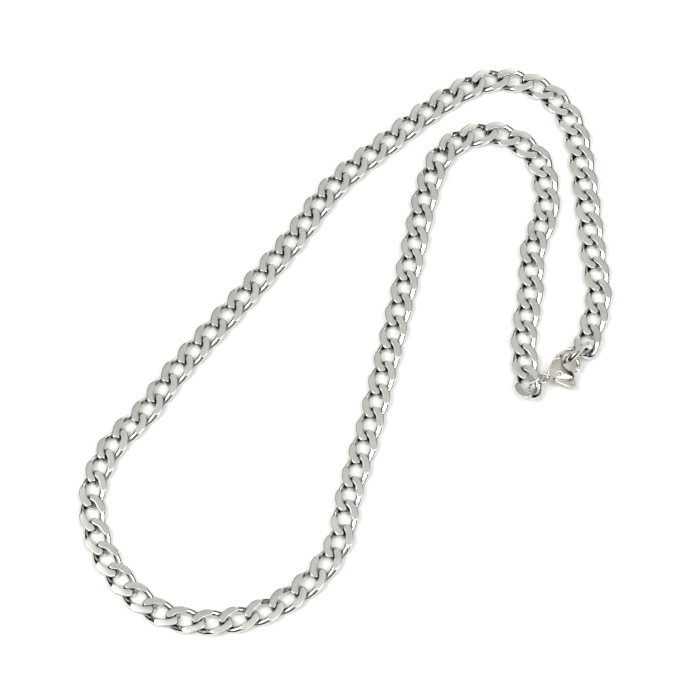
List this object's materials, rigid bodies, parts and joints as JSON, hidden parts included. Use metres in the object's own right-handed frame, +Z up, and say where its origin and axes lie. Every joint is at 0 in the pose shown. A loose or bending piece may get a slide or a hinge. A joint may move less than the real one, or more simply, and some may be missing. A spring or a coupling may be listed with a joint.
{
  "type": "curb chain necklace with a lobster clasp",
  "caption": "Steel curb chain necklace lying closed in a folded loop, fastened with a lobster clasp and a jump ring.",
  "frame": {"origin": "middle of the outline of the necklace as it lies, on the surface that it rests on", "axes": "+Z up from the surface; +X to the right and +Y away from the viewer, with the clasp on the right"},
  "size_m": [0.139, 0.1659, 0.0063],
  "materials": {
    "chain_steel": "satin ground faces, polished sides",
    "clasp_steel": "polished",
    "pin_steel": "satin"
  },
  "bodies": {
    "necklace": {"curb_chain_outer": "chain_steel", "curb_chain_inner": "chain_steel", "lobster_clasp": "clasp_steel", "clasp_pin": "pin_steel", "jump_ring": "clasp_steel"},
    "trigger": {"clasp_trigger": "clasp_steel"}
  },
  "joints": [
    {"name": "trigger_hinge", "type": "hinge", "parent": "necklace", "child": "trigger", "pos_m": [0.05455, -0.01088, 0.0029], "axis": [0.2499, -0.1415, 0.9579], "range_deg": [0, 18], "stiffness_Nm_per_rad": 0.003, "springref_deg": -28.65}
  ]
}
